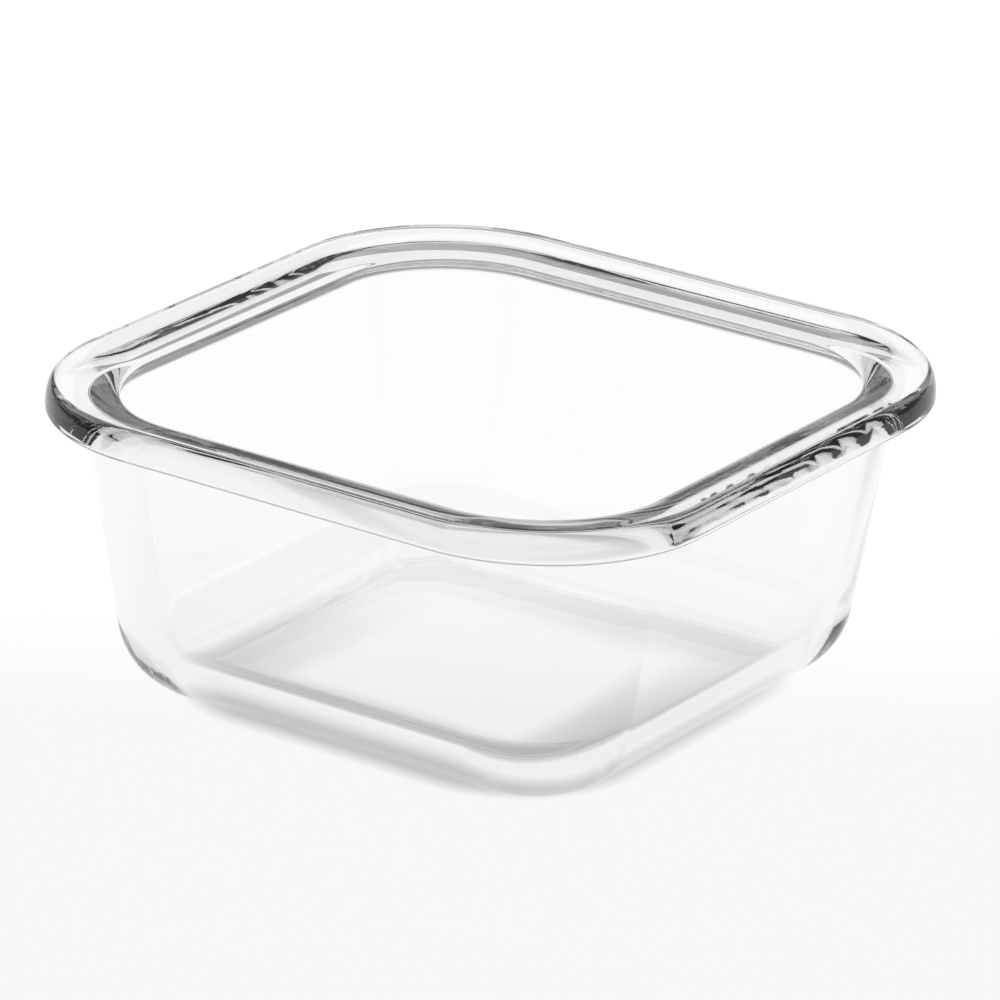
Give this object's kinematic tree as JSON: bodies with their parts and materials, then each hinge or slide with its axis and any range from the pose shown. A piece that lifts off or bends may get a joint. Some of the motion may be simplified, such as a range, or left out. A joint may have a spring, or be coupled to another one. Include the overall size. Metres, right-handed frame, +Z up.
{
  "type": "glass storage container",
  "caption": "Square clear glass food storage dish with rounded corners, tapered walls, a flat base and a thick rolled rim that takes a lid.",
  "frame": {"origin": "centre of the flat face the dish stands on", "axes": "+Z up, out of the mouth; +X and +Y each at right angles to a wall. The dish is the same from all four sides"},
  "size_m": [0.16, 0.16, 0.0706],
  "materials": {
    "clear_glass": "polished, clear, colourless"
  },
  "bodies": {
    "root": {"glass_dish": "clear_glass"}
  },
  "joints": []
}
